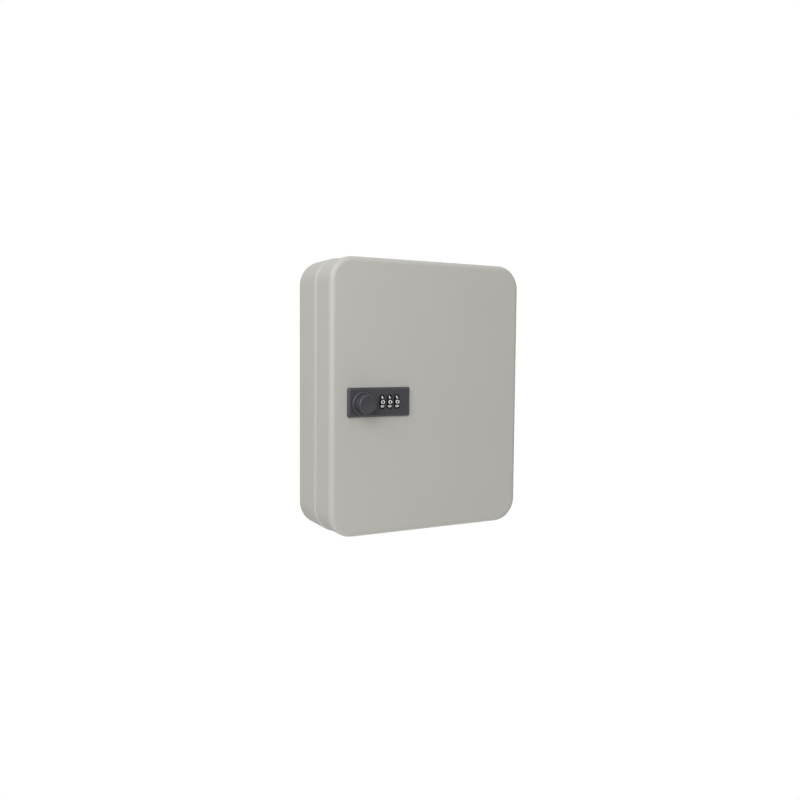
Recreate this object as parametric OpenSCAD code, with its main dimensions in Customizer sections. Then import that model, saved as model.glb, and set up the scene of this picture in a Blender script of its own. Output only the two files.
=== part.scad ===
// Wall key cabinet: a drawn sheet-steel body tray and a drawn sheet-steel door,
// joined by a piano hinge on the right and shut by a dial-combination knob lock.
// Frame: the origin is the centre of the back face, which lies on the wall.
// +X is to the right and +Z is up, and the door's front looks along -Y.

/* [Cabinet] */
// Width of the body
cabinet_w = 200; // [190:1:260]
// Height of the body
cabinet_h = 250; // [245:1:360]
// Depth from the wall to the door's front face
cabinet_d = 75; // [75:1:90]
// Depth of the door, from its front face to the body's rim
door_depth = 32.2; // [31:0.1:36]
// Thickness of the steel sheet
sheet = 1; // [0.8:0.1:1.2]
// Corner radius of the body's outline
corner_r = 23.3; // [20:0.1:26]
// How far the door's outline stands in from the body's, on each side
door_inset = 1.27; // [1:0.01:1.5]
// Rounding between the body's back and its sides
back_round = 4.4; // [3:0.1:6]
// Rounding of the body's turned-in rim
rim_round = 2.9; // [2.4:0.1:3.4]
// Rounding between the door's face and its sides
front_round = 4.7; // [3:0.1:6]
// Width of the body's turned-in flange, from its outer side
flange_w = 8; // [7:0.5:10]
// Gap between the door's edge and the body's flange
seam_gap = 0.8; // [0.6:0.1:1]

/* [Wall fixing] */
// Diameter of each wall hole
wall_hole_d = 6; // [4:0.5:8]
// Distance between the wall holes across the cabinet
wall_spacing_x = 130; // [100:1:140]
// Distance between the wall holes up the cabinet
wall_spacing_z = 224; // [212:1:226]

/* [Hinge] */
// Length of the piano hinge
hinge_len = 180; // [120:1:190]
// Number of knuckles, both leaves together
knuckles = 9; // [5:2:11]
// Outer radius of a knuckle
knuckle_r = 2.4; // [2.2:0.1:2.6]
// Radius of the hinge pin
hinge_pin_r = 1.5; // [1.2:0.1:1.6]
// Thickness of a leaf
leaf_t = 0.8; // [0.6:0.1:1]
// Width of a leaf
leaf_w = 15; // [12:1:18]

/* [Key racks] */
// Height of the highest rail in the body and in the door
top_rail_z = 92; // [80:1:94]
// Distance between two slots in an upright
slot_pitch = 11; // [10:0.5:11]
// Slots in an upright
slot_count = 18; // [17:1:18]
// Distance from the cabinet's middle to each upright
upright_x = 87; // [80:1:88]
// Keys on one rail
hooks_per_rail = 6; // [4:1:8]
// Distance between two hooks
hook_pitch = 27; // [18:1:28]

/* [Lock] */
// Width of the lock's faceplate
plate_w = 61; // [60:0.5:64]
// Height of the lock's faceplate
plate_h = 26; // [25:0.5:30]
// Thickness of the lock's faceplate
plate_t = 3; // [2.5:0.1:3.4]
// Width of the faceplate's bevel
plate_bevel = 1.6; // [1:0.1:2]
// Middle of the faceplate across the cabinet
lock_x = -52.6; // [-53:0.1:-50]
// Middle of the faceplate up the cabinet
lock_z = -3.75; // [-5:0.05:0]
// How far the knob's axis stands left of the faceplate's middle
knob_offset = 17; // [15:0.1:17.5]
// How far the knob's axis lies below the faceplate's middle
knob_drop = 0.9; // [0:0.1:1]
// Radius of the knob's face
knob_r = 8.4; // [8:0.1:8.6]
// Length of the knob in front of the faceplate
knob_len = 12; // [9:0.1:18]
// Radius of a dial wheel
dial_r = 7.2; // [7:0.1:7.4]
// Distance between two dial wheels
dial_pitch = 7.3; // [7.2:0.1:7.4]
// How far the dials stand in front of the faceplate
dial_proud = 1.8; // [1.4:0.1:2.2]

/* [Hidden] */
$fn = 64;

// Lengths that a cut runs past the face that it opens, and gaps between moving pieces
past = 1;
gap = 0.3;
running = 0.05;

// Planes across the cabinet's depth
front_y = -cabinet_d;
rim_y = front_y + door_depth;
door_w = cabinet_w - 2 * door_inset;
door_h = cabinet_h - 2 * door_inset;
door_r = corner_r - door_inset;
door_skin_y = front_y + sheet;

// Hinge
hinge_x = door_w / 2 - sheet - leaf_t + knuckle_r;
hinge_y = rim_y + sheet + leaf_t - knuckle_r;
knuckle_len = hinge_len / knuckles;
knuckle_gap = 0.3;
leaf_len = hinge_len - knuckle_gap;
hinge_clear_r = knuckle_r + gap;
pin_head_t = 0.8;

// Key racks
upright_w = 10;
upright_d = 5;
upright_margin = 9;
slot_w = 1.5;
slot_h = 8.8;
rail_len = 2 * upright_x + 8;
rail_low = -4;
rail_h = 16;
hook_w = 3;
hook_t = 1;
hook_reach = 8;
hook_rise = 6;
hook_bend_r = 2;
label_w = 9;
label_h = 5;
label_t = 0.3;
label_low = 5;
body_rail_slots = [0, 5, 10, 15];
door_rail_slots = [0, 4, 12, 16];

// Lock, front to back
plate_y = front_y - plate_t;
housing_w = 56;
housing_h = 21;
housing_back_y = front_y + 13.5;
saddle_t = 1.2;
saddle_back_y = housing_back_y + saddle_t;
cutout_clear = 0.4;
tongue_t = 1.5;
tongue_front_y = saddle_back_y + gap;
tongue_back_y = tongue_front_y + tongue_t;
washer_t = 0.8;
nut_t = 3;
spindle_end_y = tongue_back_y + washer_t + nut_t + 0.7;

// Dials
dial_y = plate_y - dial_proud + dial_r;
dial_w = 4.2;
dial_x = [for (i = [0:2]) lock_x + 2.2 + i * dial_pitch];
window_w = 5.4;
window_h = 13.7;
dial_clear_r = dial_r + 0.5;
cavity_x0 = dial_x[0] - dial_w / 2 - 0.4;
cavity_x1 = dial_x[2] + dial_pitch - dial_w / 2;
axle_r = 1.5;
sleeve_r = 2.8;
digits = 10;
groove_r = 0.45;

// Code discs, and the teeth of the bar that pass through their gates
disc_t = 0.5;
disc_r = 4.3;
tooth_t = 0.8;
tooth_h = 2.4;
tooth_clear = 0.2;
tooth_x = dial_w / 2 + gap;
disc_x = tooth_x + tooth_t + tooth_clear;
bar_stroke = tooth_t + disc_t + 2 * tooth_clear;
tooth_tip_r = 3.6;
bar_y = dial_y + dial_clear_r + 0.5;
bar_t = 1.1;
bar_h = 4;

// Knob, spindle and snail cam
knob_x = lock_x - knob_offset;
knob_z = lock_z - knob_drop;
spindle_r = 3;
collar_r = 10.4;
collar_t = 2.6;
cam_r = 4.5;
cam_slope = bar_stroke / 90;
cam_start = -60;
cam_end = 120;
follower_gap = 0.3;

// Latch tongue, cranked back to pass behind the body's flange
tongue_reach = 26;
tongue_w = 12;
crank_r = 12;
tip_front_y = rim_y + sheet + 1.5;

// Screws that clamp the saddle to the housing
screw_r = 1.25;
screw_head_r = 2.3;
screw_head_t = 1.4;
screw_len = 7;
saddle_screws = [for (x = [-3, 25], z = [-8, 8]) [lock_x + x, lock_z + z]];

// Code-change cam in the back of the lock
change_x = dial_x[1];
change_z = lock_z + 6.5;
change_r = 2;

// ---- Shared shapes ----

// Lies a piece drawn along +Z down along +Y
module along_y() {
    rotate([-90, 0, 0]) children();
}

// Lies a piece drawn along +Z down along +X
module along_x() {
    rotate([0, 90, 0]) children();
}

// A cylinder along Y from y0 to y1
module rod_y(x, z, r, y0, y1) {
    translate([x, y0, z]) along_y() cylinder(r = r, h = y1 - y0);
}

// A cylinder along X from x0 to x1
module rod_x(y, z, r, x0, x1) {
    translate([x0, y, z]) along_x() cylinder(r = r, h = x1 - x0);
}

// A box from its lowest to its highest corner
module span(low, high) {
    translate(low) cube(high - low);
}

// What a radius takes off the corner of a square
module corner_waste(r) {
    difference() {
        square(r + past);
        circle(r);
    }
}

// A rectangle with its two far corners rounded
module rounded_block(w, d, near_r, far_r) {
    difference() {
        square([w, d]);
        translate([w - near_r, near_r]) mirror([0, 1]) corner_waste(near_r);
        if (far_r > 0) translate([w - far_r, d - far_r]) corner_waste(far_r);
    }
}

// A rectangle with four rounded corners, centred
module rounded_rect(w, h, r) {
    square([w - 2 * r, h], center = true);
    square([w, h - 2 * r], center = true);
    for (x = [-1, 1], y = [-1, 1]) translate([x * (w / 2 - r), y * (h / 2 - r)]) circle(r);
}

// Section through a tray's wall, from the corner's centre outwards; lip is the mouth's rim
module tray_section(reach, depth, plate_r, rim_r, lip) {
    hollow_d = rim_r > 0 ? depth - 2 * sheet : depth;
    difference() {
        rounded_block(reach, depth, plate_r, rim_r);
        translate([-past, sheet])
            rounded_block(reach - sheet + past, hollow_d, plate_r - sheet, rim_r - sheet);
        translate([-past, depth - 1.5 * sheet]) square([reach - lip + past, 3 * sheet]);
    }
}

// A drawn tray lying on its closed face, open upwards, with round corners
module tray(w, h, r, depth, plate_r, rim_r, lip) {
    side_x = w / 2 - r;
    side_y = h / 2 - r;
    for (c = [[1, 1, 0], [-1, 1, 90], [-1, -1, 180], [1, -1, 270]])
        translate([c[0] * side_x, c[1] * side_y, 0]) rotate([0, 0, c[2]])
            rotate_extrude(angle = 90) tray_section(r, depth, plate_r, rim_r, lip);
    for (a = [0, 180]) rotate([0, 0, a]) translate([side_x, 0, 0]) rotate([90, 0, 0])
        linear_extrude(2 * side_y, center = true) tray_section(r, depth, plate_r, rim_r, lip);
    for (a = [90, 270]) rotate([0, 0, a]) translate([side_y, 0, 0]) rotate([90, 0, 0])
        linear_extrude(2 * side_x, center = true) tray_section(r, depth, plate_r, rim_r, lip);
    translate([-side_x, -side_y, 0]) cube([2 * side_x, 2 * side_y, sheet]);
}

// ---- Hinge ----

// The hinge's axis, as cylinders over the knuckles of one leaf; odd says which leaf
module knuckle_rods(r, odd, grow) {
    for (k = [odd:2:knuckles - 1])
        translate([hinge_x, hinge_y, -hinge_len / 2 + k * knuckle_len + knuckle_gap / 2 - grow])
            cylinder(r = r, h = knuckle_len - knuckle_gap + 2 * grow);
}

// The room that the hinge needs in the two shells
module hinge_notch() {
    notch_h = hinge_len + 2 * gap + 2 * pin_head_t;
    translate([hinge_x, hinge_y, -notch_h / 2]) cylinder(r = hinge_clear_r, h = notch_h);
}

module body_hinge_leaf() {
    color("silver") difference() {
        union() {
            difference() {
                span([hinge_x - leaf_w, rim_y + sheet, -leaf_len / 2],
                     [hinge_x, rim_y + sheet + leaf_t, leaf_len / 2]);
                knuckle_rods(hinge_clear_r, 1, knuckle_gap);
            }
            knuckle_rods(knuckle_r, 0, 0);
        }
        translate([hinge_x, hinge_y, -hinge_len]) cylinder(r = hinge_pin_r, h = 2 * hinge_len);
    }
}

module door_hinge_leaf() {
    leaf_x = hinge_x - knuckle_r;
    color("silver") difference() {
        union() {
            difference() {
                span([leaf_x, hinge_y - leaf_w, -leaf_len / 2],
                     [leaf_x + leaf_t, hinge_y, leaf_len / 2]);
                knuckle_rods(hinge_clear_r, 0, knuckle_gap);
            }
            knuckle_rods(knuckle_r, 1, 0);
        }
        translate([hinge_x, hinge_y, -hinge_len]) cylinder(r = hinge_pin_r + running, h = 2 * hinge_len);
    }
}

module hinge_pin() {
    color("gainsboro") {
        translate([hinge_x, hinge_y, -leaf_len / 2]) cylinder(r = hinge_pin_r, h = leaf_len);
        for (z = [-leaf_len / 2 - pin_head_t, leaf_len / 2])
            translate([hinge_x, hinge_y, z]) cylinder(r = hinge_pin_r + 0.5, h = pin_head_t);
    }
}

// ---- Shells ----

module body_shell() {
    color([0.70, 0.70, 0.67]) difference() {
        rotate([90, 0, 0]) tray(cabinet_w, cabinet_h, corner_r, -rim_y, back_round, rim_round, flange_w);
        for (x = [-1, 1], z = [-1, 1])
            rod_y(x * wall_spacing_x / 2, z * wall_spacing_z / 2, wall_hole_d / 2, -sheet - past, past);
        hinge_notch();
        span([hinge_x - knuckle_r, rim_y - past, -hinge_len / 2 - gap],
             [cabinet_w / 2 + past, rim_y + sheet + leaf_t + running, hinge_len / 2 + gap]);
    }
}

module door_shell() {
    color([0.70, 0.70, 0.67]) difference() {
        translate([0, front_y, 0]) along_y()
            tray(door_w, door_h, door_r, door_depth - seam_gap, front_round, 0, sheet);
        span([lock_x - housing_w / 2 - cutout_clear, front_y - past, lock_z - housing_h / 2 - cutout_clear],
             [lock_x + housing_w / 2 + cutout_clear, door_skin_y + past,
              lock_z + housing_h / 2 + cutout_clear]);
        hinge_notch();
    }
}

// ---- Key racks, drawn for the body, standing on the plane y = 0 and growing along -Y ----

function rail_z(slot) = top_rail_z - slot * slot_pitch;

// A channel with a row of slots in its face
module upright(x) {
    low_z = rail_z(slot_count - 1) - upright_margin;
    high_z = top_rail_z + upright_margin;
    translate([x, 0, 0]) difference() {
        span([-upright_w / 2, -upright_d, low_z], [upright_w / 2, 0, high_z]);
        span([-upright_w / 2 + sheet, -upright_d + sheet, low_z - past],
             [upright_w / 2 - sheet, past, high_z + past]);
        for (i = [0:slot_count - 1])
            span([-slot_w / 2, -upright_d - past, rail_z(i) - slot_h / 2],
                 [slot_w / 2, -upright_d + sheet + past, rail_z(i) + slot_h / 2]);
    }
}

// Side view of a hook, from the rail's face outwards, turned up at its end
module hook_profile() {
    bend = hook_bend_r + hook_t;
    square([hook_reach - bend, hook_t]);
    translate([hook_reach - bend, bend]) difference() {
        circle(bend);
        circle(hook_bend_r);
        translate([-2 * bend, -2 * bend]) square([2 * bend, 4 * bend]);
        translate([-bend, 0]) square(2 * bend);
    }
    translate([hook_reach - hook_t, bend]) square([hook_t, hook_rise - bend]);
}

function hook_x(i) = (i - (hooks_per_rail - 1) / 2) * hook_pitch;

// A rail whose two end tabs hang in the uprights' slots
module key_rail(z) {
    face_y = -upright_d - sheet;
    tab_h = 7;
    tab_back_y = -upright_d + sheet + 1.2;
    translate([0, 0, z]) {
        span([-rail_len / 2, face_y, rail_low], [rail_len / 2, -upright_d, rail_low + rail_h]);
        for (x = [-upright_x, upright_x]) {
            span([x - sheet / 2, -upright_d, -tab_h / 2], [x + sheet / 2, tab_back_y, tab_h / 2]);
            span([x - sheet / 2, -upright_d + sheet + 0.2, -tab_h / 2 - 2], [x + sheet / 2, tab_back_y, 0]);
        }
        for (i = [0:hooks_per_rail - 1])
            translate([hook_x(i) - hook_w / 2, face_y, rail_low + 1])
                rotate([90, 0, 90]) mirror([1, 0]) linear_extrude(hook_w) hook_profile();
    }
}

module hook_labels(slots) {
    face_y = -upright_d - sheet;
    for (s = slots, i = [0:hooks_per_rail - 1])
        span([hook_x(i) - label_w / 2, face_y - label_t, rail_z(s) + label_low],
             [hook_x(i) + label_w / 2, face_y, rail_z(s) + label_low + label_h]);
}

// The same racks stand on the inside of the body's back and of the door's face
module on_body() {
    translate([0, -sheet, 0]) children();
}

module on_door() {
    translate([0, door_skin_y, 0]) mirror([0, 1, 0]) children();
}

module body_upright_left() {
    color([0.62, 0.63, 0.62]) on_body() upright(-upright_x);
}

module body_upright_right() {
    color([0.62, 0.63, 0.62]) on_body() upright(upright_x);
}

module body_key_rail(n) {
    color([0.75, 0.76, 0.75]) on_body() key_rail(rail_z(body_rail_slots[n - 1]));
}

module body_hook_labels() {
    color("white") on_body() hook_labels(body_rail_slots);
}

module door_upright_left() {
    color([0.62, 0.63, 0.62]) on_door() upright(-upright_x);
}

module door_upright_right() {
    color([0.62, 0.63, 0.62]) on_door() upright(upright_x);
}

module door_key_rail(n) {
    color([0.75, 0.76, 0.75]) on_door() key_rail(rail_z(door_rail_slots[n - 1]));
}

module door_hook_labels() {
    color("white") on_door() hook_labels(door_rail_slots);
}

// ---- Lock, fixed pieces ----

// A slab of the faceplate's outline, narrowed all round by inset
module plate_slab(inset, y0, y1) {
    translate([lock_x, y0, lock_z]) along_y() linear_extrude(y1 - y0)
        rounded_rect(plate_w - 2 * inset, plate_h - 2 * inset, 1.6, $fn = 32);
}

module lock_faceplate() {
    color([0.30, 0.30, 0.33]) difference() {
        hull() {
            plate_slab(0, plate_y + plate_bevel, front_y);
            plate_slab(plate_bevel, plate_y, front_y);
        }
        rod_y(knob_x, knob_z, spindle_r + gap, plate_y - past, front_y + past);
        for (x = dial_x) translate([x, plate_y - past, lock_z]) along_y()
            linear_extrude(plate_t + 2 * past) rounded_rect(window_w, window_h, window_w / 2 - 0.01);
        for (x = dial_x) {
            rod_x(dial_y, lock_z, dial_clear_r, x - window_w / 2, x + window_w / 2);
            rod_x(dial_y, lock_z, disc_r + gap, x, x + disc_x + disc_t + gap);
        }
    }
}

module knob_collar() {
    rim_w = 1.5;
    color([0.34, 0.35, 0.39]) translate([knob_x, plate_y, knob_z]) rotate([90, 0, 0]) rotate_extrude()
        difference() {
            translate([knob_r + gap, 0]) square([collar_r - knob_r - gap, collar_t]);
            translate([collar_r - rim_w, collar_t - rim_w]) corner_waste(rim_w);
        }
}

module lock_housing() {
    low = [lock_x - housing_w / 2, front_y, lock_z - housing_h / 2];
    high = [lock_x + housing_w / 2, housing_back_y, lock_z + housing_h / 2];
    bar_room = [cavity_x1 + 0.5, housing_back_y - 0.6];
    spring_z = lock_z - dial_clear_r - 0.45;
    color([0.55, 0.55, 0.56]) difference() {
        span(low, high);
        rod_x(dial_y, lock_z, dial_clear_r, cavity_x0, cavity_x1);
        rod_x(dial_y, lock_z, axle_r, cavity_x0 - 4, cavity_x1 + 3);
        span([cavity_x0, front_y - past, lock_z - dial_clear_r + 0.4],
             [cavity_x1, dial_y, lock_z + dial_clear_r - 0.4]);
        rod_y(knob_x, knob_z, spindle_r + running, front_y - past, housing_back_y + past);
        rod_y(knob_x, knob_z, cam_end * cam_slope + cam_r + 0.8, bar_y - gap, bar_room[1]);
        span([knob_x, bar_y - gap, lock_z - bar_h / 2 - gap],
             [bar_room[0], bar_room[1], lock_z + bar_h / 2 + gap]);
        span([cavity_x0, dial_y - 1, spring_z], [cavity_x1, bar_y, lock_z + tooth_h / 2 + gap]);
        rod_y(change_x, change_z, change_r + running, housing_back_y - 2, housing_back_y + past);
        for (p = saddle_screws)
            rod_y(p[0], p[1], screw_r, housing_back_y - screw_len + saddle_t,
                  housing_back_y + past);
    }
}

// A channel over the housing's back, whose two legs press on the door's inner face
module lock_saddle() {
    leg_z = housing_h / 2 + 0.6;
    color([0.78, 0.78, 0.76]) difference() {
        span([lock_x - housing_w / 2, door_skin_y, lock_z - leg_z - saddle_t],
             [lock_x + housing_w / 2, saddle_back_y, lock_z + leg_z + saddle_t]);
        span([lock_x - housing_w / 2 - past, front_y, lock_z - leg_z],
             [lock_x + housing_w / 2 + past, housing_back_y, lock_z + leg_z]);
        rod_y(knob_x, knob_z, spindle_r + gap, housing_back_y - past, saddle_back_y + past);
        rod_y(change_x, change_z, change_r + running, housing_back_y - past, saddle_back_y + past);
        for (p = saddle_screws) rod_y(p[0], p[1], screw_r, housing_back_y - past, saddle_back_y + past);
    }
}

module lock_saddle_screws() {
    color("silver") for (p = saddle_screws) difference() {
        union() {
            rod_y(p[0], p[1], screw_r, saddle_back_y - screw_len, saddle_back_y);
            rod_y(p[0], p[1], screw_head_r, saddle_back_y, saddle_back_y + screw_head_t);
        }
        for (a = [0, 90]) translate([p[0], saddle_back_y + screw_head_t, p[1]]) rotate([0, a, 0])
            cube([0.6, 1.4, 2.8], center = true);
    }
}

module dial_axle() {
    color("silver") rod_x(dial_y, lock_z, axle_r, cavity_x0 - 4, cavity_x1 + 3);
}

// Three leaf springs on one foot, one under each dial wheel
module dial_detent_comb() {
    leaf_top = lock_z - dial_clear_r + 0.1;
    leaf_low = leaf_top - 0.3;
    foot_y = bar_y - gap - 1;
    color("silver") {
        span([dial_x[0] - 1.5, foot_y, leaf_low], [dial_x[2] + 1.5, foot_y + 0.9, leaf_top]);
        for (x = dial_x) span([x - 1.5, dial_y - 0.9, leaf_low], [x + 1.5, foot_y, leaf_top]);
    }
}

// ---- Dials ----

module dial_wheel(n) {
    web_t = 1.6;
    rim_r = dial_r - 2.1;
    x = dial_x[n - 1];
    color([0.10, 0.10, 0.11]) difference() {
        rod_x(dial_y, lock_z, dial_r, x - dial_w / 2, x + dial_w / 2);
        rod_x(dial_y, lock_z, rim_r, x - dial_w / 2 - past, x - web_t / 2);
        rod_x(dial_y, lock_z, rim_r, x + web_t / 2, x + dial_w / 2 + past);
        rod_x(dial_y, lock_z, sleeve_r, x - dial_w, x + dial_w);
        for (i = [0:digits - 1]) translate([0, dial_y, lock_z]) rotate([(i + 0.5) * 360 / digits, 0, 0])
            rod_x(0, dial_r + groove_r / 2, groove_r, x - dial_w, x + dial_w);
    }
}

// A sleeve that the wheel is pressed on, with a gated disc at its end
module code_disc(n) {
    x = dial_x[n - 1];
    color("goldenrod") difference() {
        union() {
            rod_x(dial_y, lock_z, sleeve_r, x - dial_w / 2, x + disc_x + disc_t);
            rod_x(dial_y, lock_z, disc_r, x + disc_x, x + disc_x + disc_t);
        }
        rod_x(dial_y, lock_z, axle_r + running, x - dial_w, x + 2 * dial_w);
        span([x + disc_x - past, dial_y + sleeve_r + 0.3, lock_z - tooth_h / 2 - gap],
             [x + disc_x + disc_t + past, dial_y + disc_r + past, lock_z + tooth_h / 2 + gap]);
    }
}

// The bar that slides along the dials; its teeth pass the discs only through their gates
module locking_bar() {
    left_x = knob_x + cam_r + follower_gap;
    right_x = dial_x[2] + tooth_x + tooth_t;
    color("silver") {
        span([left_x, bar_y, lock_z - bar_h / 2], [right_x, bar_y + bar_t, lock_z + bar_h / 2]);
        for (x = dial_x) span([x + tooth_x, dial_y + tooth_tip_r, lock_z - tooth_h / 2],
                              [x + tooth_x + tooth_t, bar_y, lock_z + tooth_h / 2]);
    }
}

// A screwdriver-slotted cam that frees the sleeves while the code is changed
module code_change_cam() {
    head_y = saddle_back_y + 1.2;
    color("goldenrod") difference() {
        rod_y(change_x, change_z, change_r, housing_back_y - 1.8, head_y);
        translate([change_x, head_y, change_z]) cube([0.7, 1.4, 5], center = true);
    }
}

// ---- Knob and latch ----

// Half section of the knob: a drum with a rounded front edge and a shallow dish in its face
module knob_profile() {
    edge_r = 1.3;
    dish_r = knob_r - 1.7;
    dish_t = 0.7;
    dish_curve = (dish_r * dish_r + dish_t * dish_t) / (2 * dish_t);
    difference() {
        square([knob_r, knob_len]);
        translate([knob_r - edge_r, knob_len - edge_r]) corner_waste(edge_r);
        translate([0, knob_len - dish_t + dish_curve]) circle(dish_curve);
    }
}

module knob() {
    pointer_w = 1.2;
    color([0.31, 0.31, 0.34]) difference() {
        translate([knob_x, plate_y - gap, knob_z]) rotate([90, 0, 0]) rotate_extrude() knob_profile();
        rod_y(knob_x, knob_z, spindle_r, plate_y - gap - knob_len / 2, plate_y);
        translate([knob_x - pointer_w / 2, plate_y - gap - knob_len - past, knob_z + 3.6])
            cube([pointer_w, past + 0.65, 3]);
    }
}

module knob_spindle() {
    color("silver") rod_y(knob_x, knob_z, spindle_r, plate_y - gap - knob_len / 2, spindle_end_y);
}

// Radius of the snail cam at an angle from +X towards +Z
function snail_r(a) = cam_r + cam_slope * a;

module snail_cam() {
    color("goldenrod") translate([knob_x, bar_y, knob_z]) rotate([90, 0, 0]) mirror([0, 0, 1])
        linear_extrude(bar_t) difference() {
            union() {
                polygon([for (a = [cam_start:6:cam_end]) snail_r(a) * [cos(a), sin(a)]]);
                circle(snail_r(cam_start));
            }
            circle(spindle_r);
        }
}

// The tongue hangs down when the door is free, and points left behind the flange when locked
module latch_tongue() {
    hub_r = 7;
    color([0.78, 0.78, 0.76]) difference() {
        union() {
            rod_y(knob_x, knob_z, hub_r, tongue_front_y, tongue_back_y);
            span([knob_x - tongue_w / 2, tongue_front_y, knob_z - crank_r - tongue_t],
                 [knob_x + tongue_w / 2, tongue_back_y, knob_z]);
            span([knob_x - tongue_w / 2, tongue_front_y, knob_z - crank_r - tongue_t],
                 [knob_x + tongue_w / 2, tip_front_y + tongue_t, knob_z - crank_r]);
            intersection() {
                span([knob_x - tongue_w / 2, tip_front_y, knob_z - tongue_reach],
                     [knob_x + tongue_w / 2, tip_front_y + tongue_t, knob_z - crank_r]);
                rod_y(knob_x, knob_z, tongue_reach, tip_front_y - past, tip_front_y + tongue_t + past);
            }
        }
        rod_y(knob_x, knob_z, spindle_r, tongue_front_y - past, tongue_back_y + past);
    }
}

module tongue_washer() {
    color("silver") difference() {
        rod_y(knob_x, knob_z, 6, tongue_back_y, tongue_back_y + washer_t);
        rod_y(knob_x, knob_z, spindle_r, tongue_back_y - past, tongue_back_y + washer_t + past);
    }
}

module tongue_nut() {
    nut_y = tongue_back_y + washer_t;
    color("silver") difference() {
        translate([knob_x, nut_y, knob_z]) along_y() cylinder(r = 5.4, h = nut_t, $fn = 6);
        rod_y(knob_x, knob_z, spindle_r, nut_y - past, nut_y + nut_t + past);
    }
}

// ---- Nodes ----

body_shell();
body_hinge_leaf();
hinge_pin();
body_upright_left();
body_upright_right();
body_key_rail(1);  // body_key_rail_1
body_key_rail(2);  // body_key_rail_2
body_key_rail(3);  // body_key_rail_3
body_key_rail(4);  // body_key_rail_4
body_hook_labels();
door_shell();
door_hinge_leaf();
door_upright_left();
door_upright_right();
door_key_rail(1);  // door_key_rail_1
door_key_rail(2);  // door_key_rail_2
door_key_rail(3);  // door_key_rail_3
door_key_rail(4);  // door_key_rail_4
door_hook_labels();
lock_faceplate();
knob_collar();
lock_housing();
lock_saddle();
lock_saddle_screws();
dial_axle();
dial_detent_comb();
dial_wheel(1);  // dial_wheel_1
dial_wheel(2);  // dial_wheel_2
dial_wheel(3);  // dial_wheel_3
code_disc(1);  // code_disc_1
code_disc(2);  // code_disc_2
code_disc(3);  // code_disc_3
knob();
knob_spindle();
snail_cam();
latch_tongue();
tongue_washer();
tongue_nut();
locking_bar();
code_change_cam();
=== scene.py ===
"""A wall key cabinet: looks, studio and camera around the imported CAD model."""

import math

import bmesh
import bpy
from mathutils import Matrix, Vector


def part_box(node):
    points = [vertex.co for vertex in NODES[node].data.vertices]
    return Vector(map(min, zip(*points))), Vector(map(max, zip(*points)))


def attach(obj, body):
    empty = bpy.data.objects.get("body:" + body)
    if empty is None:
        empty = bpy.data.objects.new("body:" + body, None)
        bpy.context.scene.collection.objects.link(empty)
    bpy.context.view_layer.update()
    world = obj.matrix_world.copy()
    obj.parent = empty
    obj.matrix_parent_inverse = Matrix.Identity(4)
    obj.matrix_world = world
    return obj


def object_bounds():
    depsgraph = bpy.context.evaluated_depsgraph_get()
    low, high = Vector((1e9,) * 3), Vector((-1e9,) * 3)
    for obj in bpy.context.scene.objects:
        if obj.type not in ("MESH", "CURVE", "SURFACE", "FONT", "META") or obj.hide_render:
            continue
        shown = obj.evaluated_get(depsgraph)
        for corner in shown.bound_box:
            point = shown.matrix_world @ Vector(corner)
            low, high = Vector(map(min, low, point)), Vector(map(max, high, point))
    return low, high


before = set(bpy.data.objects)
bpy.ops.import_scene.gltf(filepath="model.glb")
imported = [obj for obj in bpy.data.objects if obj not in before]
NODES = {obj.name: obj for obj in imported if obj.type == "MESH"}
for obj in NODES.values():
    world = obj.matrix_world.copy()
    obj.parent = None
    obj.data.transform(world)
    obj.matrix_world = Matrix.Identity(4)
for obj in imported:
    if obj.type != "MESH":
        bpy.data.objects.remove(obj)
cad_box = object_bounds()

MM = 0.001
DIGITS = 10
DIAL_FIGURE_HEIGHT = 3.1 * MM
DIAL_FIGURE_WIDENING = 1.9
LABEL_FIGURE_HEIGHT = 3.1 * MM
LABELS_PER_BODY = 24
# Capital height of Blender's built-in font, as a share of its size
FONT_CAP_HEIGHT = 0.72
# Depth of the plane between the body's labels and the door's
LABEL_SPLIT_Y = -0.03

# The camera that took the photograph, in metres, radians and millimetres
CAMERA_POSITION = Vector((-0.3571, -0.6918, 0.0415))
CAMERA_YAW, CAMERA_PITCH, CAMERA_ROLL = 0.4865, 0.0631, 0.0079
CAMERA_LENS = 34.83
SENSOR_WIDTH = 36

# Studio: the sky's strength straight below and straight above, and the floor
SKY_BELOW, SKY_ABOVE = 0.14, 0.88
FLOOR_DROP = 0.6
FLOOR_HALF_SIZE = 0.6
FLOOR_GLOW = 0.60
AIM = Vector((0, -0.04, 0))
WHITE = (1, 1, 1, 1)


# ---- Camera ----

def make_camera():
    """Stands left of the front, a little above mid-height, where the photograph was taken."""
    yaw, pitch, roll = CAMERA_YAW, CAMERA_PITCH, CAMERA_ROLL
    forward = Vector((math.sin(yaw) * math.cos(pitch),
                      math.cos(yaw) * math.cos(pitch),
                      -math.sin(pitch)))
    right = Vector((math.cos(yaw), -math.sin(yaw), 0))
    up = right.cross(forward)
    tilted_right = math.cos(roll) * right + math.sin(roll) * up
    tilted_up = math.cos(roll) * up - math.sin(roll) * right
    data = bpy.data.cameras.new("camera")
    data.sensor_width = SENSOR_WIDTH
    data.lens = CAMERA_LENS
    data.clip_start = 0.01
    camera = bpy.data.objects.new("camera", data)
    axes = Matrix((tilted_right, tilted_up, -forward)).transposed()
    camera.matrix_world = Matrix.Translation(CAMERA_POSITION) @ axes.to_4x4()
    bpy.context.scene.collection.objects.link(camera)
    bpy.context.scene.camera = camera


# ---- Materials ----

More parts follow.
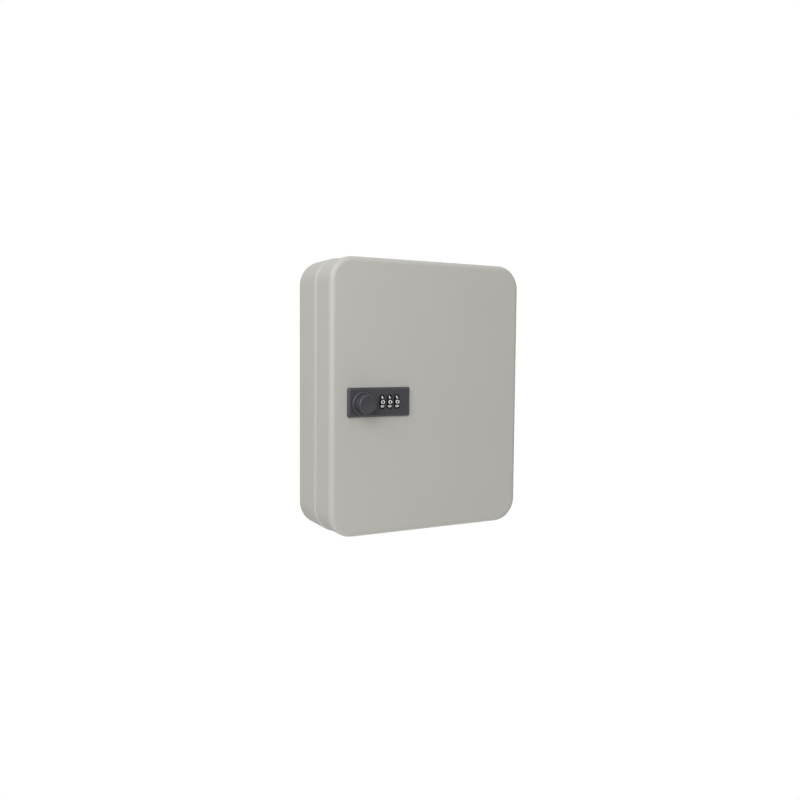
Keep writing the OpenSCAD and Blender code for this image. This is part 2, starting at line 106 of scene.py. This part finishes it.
def map_range(tree, value, low, high, out_low, out_high):
    """Adds a node that maps low..high to out_low..out_high, and gives its result."""
    node = tree.nodes.new("ShaderNodeMapRange")
    limits = {"From Min": low, "From Max": high, "To Min": out_low, "To Max": out_high}
    for socket, number in limits.items():
        node.inputs[socket].default_value = number
    tree.links.new(value, node.inputs["Value"])
    return node.outputs["Result"]


class Shader:
    """A material's node tree with its Principled shader, and short calls for the nodes used here."""

    def __init__(self, name, **values):
        self.material = bpy.data.materials.new(name)
        self.material.use_nodes = True
        self.tree = self.material.node_tree
        self.shader = self.tree.nodes["Principled BSDF"]
        for socket, value in values.items():
            self.shader.inputs[socket.replace("_", " ")].default_value = value
        self.coords = self.tree.nodes.new("ShaderNodeTexCoord").outputs["Object"]

    def link(self, source, target):
        self.tree.links.new(source, target)

    def stretched(self, scale):
        """Object coordinates scaled along each axis."""
        node = self.tree.nodes.new("ShaderNodeMapping")
        node.inputs["Scale"].default_value = scale
        self.link(self.coords, node.inputs["Vector"])
        return node.outputs["Vector"]

    def noise(self, size, detail=2.0, coords=None):
        """Noise whose features are about size metres across."""
        node = self.tree.nodes.new("ShaderNodeTexNoise")
        node.inputs["Scale"].default_value = 1 / size
        node.inputs["Detail"].default_value = detail
        self.link(coords or self.coords, node.inputs["Vector"])
        return node.outputs["Fac"]

    def colour(self, factor, first, second):
        """Base colour between first and second by the factor."""
        node = self.tree.nodes.new("ShaderNodeMix")
        node.data_type = "RGBA"
        node.inputs["A"].default_value = (*first, 1)
        node.inputs["B"].default_value = (*second, 1)
        self.link(factor, node.inputs["Factor"])
        self.link(node.outputs["Result"], self.shader.inputs["Base Color"])

    def roughness(self, value, low, high):
        """Roughness from low to high over the middle range of a noise."""
        rough = map_range(self.tree, value, 0.3, 0.7, low, high)
        self.link(rough, self.shader.inputs["Roughness"])

    def bump(self, heights):
        """Chains one bump after another; heights is a list of (value, height in metres)."""
        normal = None
        for value, height in heights:
            node = self.tree.nodes.new("ShaderNodeBump")
            node.inputs["Distance"].default_value = height
            node.inputs["Strength"].default_value = 1.0
            self.link(value, node.inputs["Height"])
            if normal:
                self.link(normal, node.inputs["Normal"])
            normal = node.outputs["Normal"]
        self.link(normal, self.shader.inputs["Normal"])


def powder_coat():
    """Satin grey-beige powder coat: a fine orange peel with a slight mottle."""
    s = Shader("powder_coat", IOR=1.5, Specular_IOR_Level=0.45)
    s.colour(s.noise(0.05), (0.430, 0.414, 0.379), (0.445, 0.429, 0.394))
    s.roughness(s.noise(0.004), 0.40, 0.52)
    s.bump([(s.noise(0.0022), 0.00005), (s.noise(0.0007, 3.0), 0.00002)])
    return s.material


def rack_paint():
    """Light grey paint on the key rails."""
    s = Shader("rack_paint", IOR=1.5, Specular_IOR_Level=0.4)
    s.colour(s.noise(0.03), (0.50, 0.505, 0.495), (0.54, 0.545, 0.535))
    s.roughness(s.noise(0.003), 0.34, 0.46)
    s.bump([(s.noise(0.0015), 0.00003)])
    return s.material


def zinc_plate():
    """Bright zinc: soft patches, with a grain drawn along the strip."""
    s = Shader("zinc_plate", Metallic=1.0)
    s.colour(s.noise(0.004, 4.0), (0.52, 0.53, 0.55), (0.70, 0.70, 0.69))
    s.roughness(s.noise(0.0006, 3.0, s.stretched((1, 1, 0.06))), 0.26, 0.46)
    s.bump([(s.noise(0.0004, 2.0, s.stretched((1, 1, 0.05))), 0.000008)])
    return s.material


def lock_paint(name, dark, light, low, high):
    """Satin charcoal paint over a zinc casting."""
    s = Shader(name, IOR=1.5, Specular_IOR_Level=0.5)
    s.colour(s.noise(0.006, 3.0), dark, light)
    s.roughness(s.noise(0.0015), low, high)
    s.bump([(s.noise(0.0009, 3.0), 0.000025)])
    return s.material


def bare_casting():
    """Unpainted zinc casting, dull and slightly pitted."""
    s = Shader("bare_casting", Metallic=1.0)
    s.colour(s.noise(0.003, 5.0), (0.27, 0.27, 0.28), (0.42, 0.42, 0.42))
    s.roughness(s.noise(0.001, 4.0), 0.45, 0.62)
    s.bump([(s.noise(0.0008, 4.0), 0.00004)])
    return s.material


def dial_plastic():
    """Black moulded plastic."""
    s = Shader("dial_plastic", IOR=1.47, Specular_IOR_Level=0.5)
    s.colour(s.noise(0.002), (0.010, 0.010, 0.011), (0.017, 0.017, 0.018))
    s.roughness(s.noise(0.0008), 0.30, 0.42)
    s.bump([(s.noise(0.0005), 0.00001)])
    return s.material


def brass():
    """Turned brass with a fine grain."""
    s = Shader("brass", Metallic=1.0)
    s.colour(s.noise(0.002, 4.0), (0.58, 0.40, 0.15), (0.72, 0.53, 0.23))
    s.roughness(s.noise(0.0005, 3.0, s.stretched((0.1, 1, 1))), 0.22, 0.40)
    s.bump([(s.noise(0.0003, 2.0, s.stretched((0.1, 1, 1))), 0.000005)])
    return s.material


def printed(name, first, second, rough):
    """Ink or film with a faint unevenness."""
    s = Shader(name, IOR=1.45)
    s.colour(s.noise(0.0012, 3.0), first, second)
    s.roughness(s.noise(0.001), rough, rough + 0.12)
    s.bump([(s.noise(0.0006), 0.000006)])
    return s.material


def dress_nodes():
    """Gives every CAD node its finish: the longest name start that fits, or zinc where none does."""
    coat = powder_coat()
    rack = rack_paint()
    zinc = zinc_plate()
    plate = lock_paint("plate_paint", (0.036, 0.034, 0.042), (0.044, 0.042, 0.051), 0.42, 0.54)
    grip = lock_paint("knob_paint", (0.036, 0.035, 0.043), (0.044, 0.043, 0.052), 0.38, 0.50)
    casting = bare_casting()
    black = dial_plastic()
    yellow = brass()
    film = printed("label_film", (0.78, 0.78, 0.76), (0.84, 0.84, 0.82), 0.4)
    finishes = {
        "body_shell": coat, "door_shell": coat, "body_hinge": coat, "door_hinge": coat,
        "body_upright": coat, "door_upright": coat, "body_key_rail": rack, "door_key_rail": rack,
        "body_hook_labels": film, "door_hook_labels": film,
        "lock_faceplate": plate, "knob_collar": plate, "knob": grip, "knob_spindle": zinc,
        "lock_housing": casting,
        "dial_wheel": black, "code_disc": yellow, "snail_cam": yellow, "code_change_cam": yellow,
    }
    for name, node in NODES.items():
        fitting = [start for start in finishes if name.startswith(start)]
        finish = finishes[max(fitting, key=len)] if fitting else zinc
        node.data.materials.clear()
        node.data.materials.append(finish)


# ---- Figures on the dials and the labels ----

def glyph_mesh(text, height, width_scale, thickness):
    """The text as a bmesh in its own plane, centred, X across and Y up, with its front at +Z."""
    curve = bpy.data.curves.new("glyph", "FONT")
    curve.body = text
    curve.align_x = "CENTER"
    curve.size = height / FONT_CAP_HEIGHT
    curve.extrude = thickness / 2
    holder = bpy.data.objects.new("glyph", curve)
    bpy.context.scene.collection.objects.link(holder)
    graph = bpy.context.evaluated_depsgraph_get()
    mesh = bpy.data.meshes.new_from_object(holder.evaluated_get(graph))
    bm = bmesh.new()
    bm.from_mesh(mesh)
    bpy.data.objects.remove(holder)
    bpy.data.curves.remove(curve)
    bpy.data.meshes.remove(mesh)
    bmesh.ops.remove_doubles(bm, verts=bm.verts, dist=1e-7)
    xs = [v.co.x for v in bm.verts]
    ys = [v.co.y for v in bm.verts]
    middle = Vector(((min(xs) + max(xs)) / 2, (min(ys) + max(ys)) / 2, 0))
    for v in bm.verts:
        v.co -= middle
        v.co.x *= width_scale
    return bm


def add_figures(name, bm, ink, body):
    """Turns a bmesh of figures into a printed piece that rides on a body."""
    mesh = bpy.data.meshes.new(name)
    bmesh.ops.recalc_face_normals(bm, faces=bm.faces)
    bm.to_mesh(mesh)
    bm.free()
    mesh.materials.append(ink)
    piece = bpy.data.objects.new(name, mesh)
    bpy.context.scene.collection.objects.link(piece)
    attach(piece, body)


def join(target, source):
    """Copies source's geometry into target and frees source."""
    mesh = bpy.data.meshes.new("part")
    source.to_mesh(mesh)
    source.free()
    target.from_mesh(mesh)
    bpy.data.meshes.remove(mesh)


def dial_figures(number, ink):
    """Ten digits printed round one dial wheel."""
    low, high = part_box(f"dial_wheel_{number}")
    centre = (low + high) / 2
    radius = (high.y - low.y) / 2
    height, thickness, step = DIAL_FIGURE_HEIGHT, 0.06 * MM, 0.3 * MM
    ring = bmesh.new()
    for digit in range(DIGITS):
        bm = glyph_mesh(str(digit), height, DIAL_FIGURE_WIDENING, thickness)
        # Cuts across the digit let it bend round the wheel
        for k in range(1, int(height / step)):
            geometry = bm.verts[:] + bm.edges[:] + bm.faces[:]
            level = -height / 2 + k * step
            bmesh.ops.bisect_plane(bm, geom=geometry, plane_co=(0, level, 0), plane_no=(0, 1, 0))
        turn = digit * 2 * math.pi / DIGITS
        for v in bm.verts:
            angle = turn + v.co.y / radius
            reach = radius + v.co.z + thickness * 0.3
            v.co = Vector((centre.x + v.co.x,
                           centre.y - reach * math.cos(angle),
                           centre.z + reach * math.sin(angle)))
        join(ring, bm)
    add_figures(f"dial_figures_{number}", ring, ink, f"dial_{number}")


def label_figures(node, body, first, facing, ink):
    """Running numbers on the row of label plates that make up one node."""
    plates = islands(NODES[node])
    thickness = 0.04 * MM
    numbers = bmesh.new()
    for index, (low, high) in enumerate(plates):
        bm = glyph_mesh(str(first + index), LABEL_FIGURE_HEIGHT, 1.0, thickness)
        centre = (low + high) / 2
        face = high.y if facing > 0 else low.y
        for v in bm.verts:
            v.co = Vector((centre.x - facing * v.co.x,
                           face + facing * (v.co.z + thickness * 0.4),
                           centre.z + v.co.y))
        join(numbers, bm)
    add_figures(f"{body}_label_figures", numbers, ink, body)


def islands(node):
    """Boxes of a node's separate solids, row by row from the top, left to right as they are read."""
    bm = bmesh.new()
    bm.from_mesh(node.data)
    bmesh.ops.remove_doubles(bm, verts=bm.verts, dist=1e-6)
    left = set(bm.verts)
    boxes = []
    while left:
        stack = [left.pop()]
        group = []
        while stack:
            vertex = stack.pop()
            group.append(vertex.co.copy())
            for edge in vertex.link_edges:
                other = edge.other_vert(vertex)
                if other in left:
                    left.remove(other)
                    stack.append(other)
        boxes.append((Vector([min(c[i] for c in group) for i in range(3)]),
                      Vector([max(c[i] for c in group) for i in range(3)])))
    bm.free()
    side = 1 if boxes[0][0].y > LABEL_SPLIT_Y else -1
    return sorted(boxes, key=lambda b: (-round(b[0].z, 4), side * b[0].x))


# ---- Studio ----

def area_light(name, azimuth, elevation, distance, size, power, tint):
    """A square soft box aimed at the cabinet; azimuth 0 is straight in front and grows to the left."""
    a, e = math.radians(azimuth), math.radians(elevation)
    away = Vector((-math.sin(a) * math.cos(e), -math.cos(a) * math.cos(e), math.sin(e)))
    data = bpy.data.lights.new(name, "AREA")
    data.size = size
    data.energy = power
    data.color = tint
    light = bpy.data.objects.new(name, data)
    light.location = AIM + away * distance
    light.rotation_mode = "QUATERNION"
    light.rotation_quaternion = away.to_track_quat("Z", "Y")
    bpy.context.scene.collection.objects.link(light)


def make_world():
    """White to the camera; as light, a sky that grows stronger upwards."""
    world = bpy.data.worlds.new("studio")
    bpy.context.scene.world = world
    world.use_nodes = True
    tree = world.node_tree
    background = tree.nodes["Background"]
    background.inputs["Color"].default_value = WHITE
    path = tree.nodes.new("ShaderNodeLightPath")
    direction = tree.nodes.new("ShaderNodeTexCoord")
    axes = tree.nodes.new("ShaderNodeSeparateXYZ")
    tree.links.new(direction.outputs["Generated"], axes.inputs["Vector"])
    sky = map_range(tree, axes.outputs["Z"], -1, 1, SKY_BELOW, SKY_ABOVE)
    strength = tree.nodes.new("ShaderNodeMapRange")
    strength.inputs["To Max"].default_value = 1.0
    tree.links.new(sky, strength.inputs["To Min"])
    tree.links.new(path.outputs["Is Camera Ray"], strength.inputs["Value"])
    tree.links.new(strength.outputs["Result"], background.inputs["Strength"])


def make_floor():
    """A pale floor far enough below that the cabinet seems to hang free."""
    floor_z = cad_box[0].z - FLOOR_DROP
    bm = bmesh.new()
    bmesh.ops.create_grid(bm, x_segments=1, y_segments=1, size=FLOOR_HALF_SIZE)
    for v in bm.verts:
        v.co.z = floor_z
    mesh = bpy.data.meshes.new("floor")
    bm.to_mesh(mesh)
    bm.free()
    s = Shader("floor", Specular_IOR_Level=0.0)
    s.colour(s.noise(0.5), (0.80, 0.80, 0.795), (0.83, 0.83, 0.825))
    s.shader.inputs["Roughness"].default_value = 1.0
    s.shader.inputs["Emission Color"].default_value = WHITE
    s.shader.inputs["Emission Strength"].default_value = FLOOR_GLOW
    mesh.materials.append(s.material)
    floor = bpy.data.objects.new("floor", mesh)
    bpy.context.scene.collection.objects.link(floor)


bpy.context.scene.view_settings.view_transform = "Standard"
make_camera()
dress_nodes()
white_ink = printed("white_ink", (0.80, 0.80, 0.79), (0.88, 0.88, 0.87), 0.45)
black_ink = printed("black_ink", (0.012, 0.012, 0.013), (0.022, 0.022, 0.024), 0.5)
for number in (1, 2, 3):
    dial_figures(number, white_ink)
label_figures("body_hook_labels", "cabinet", 1, -1, black_ink)
label_figures("door_hook_labels", "door", LABELS_PER_BODY + 1, 1, black_ink)
make_world()
area_light("key", azimuth=48, elevation=25, distance=1.2, size=1.0, power=12.0, tint=(0.98, 1.0, 1.03))
make_floor()
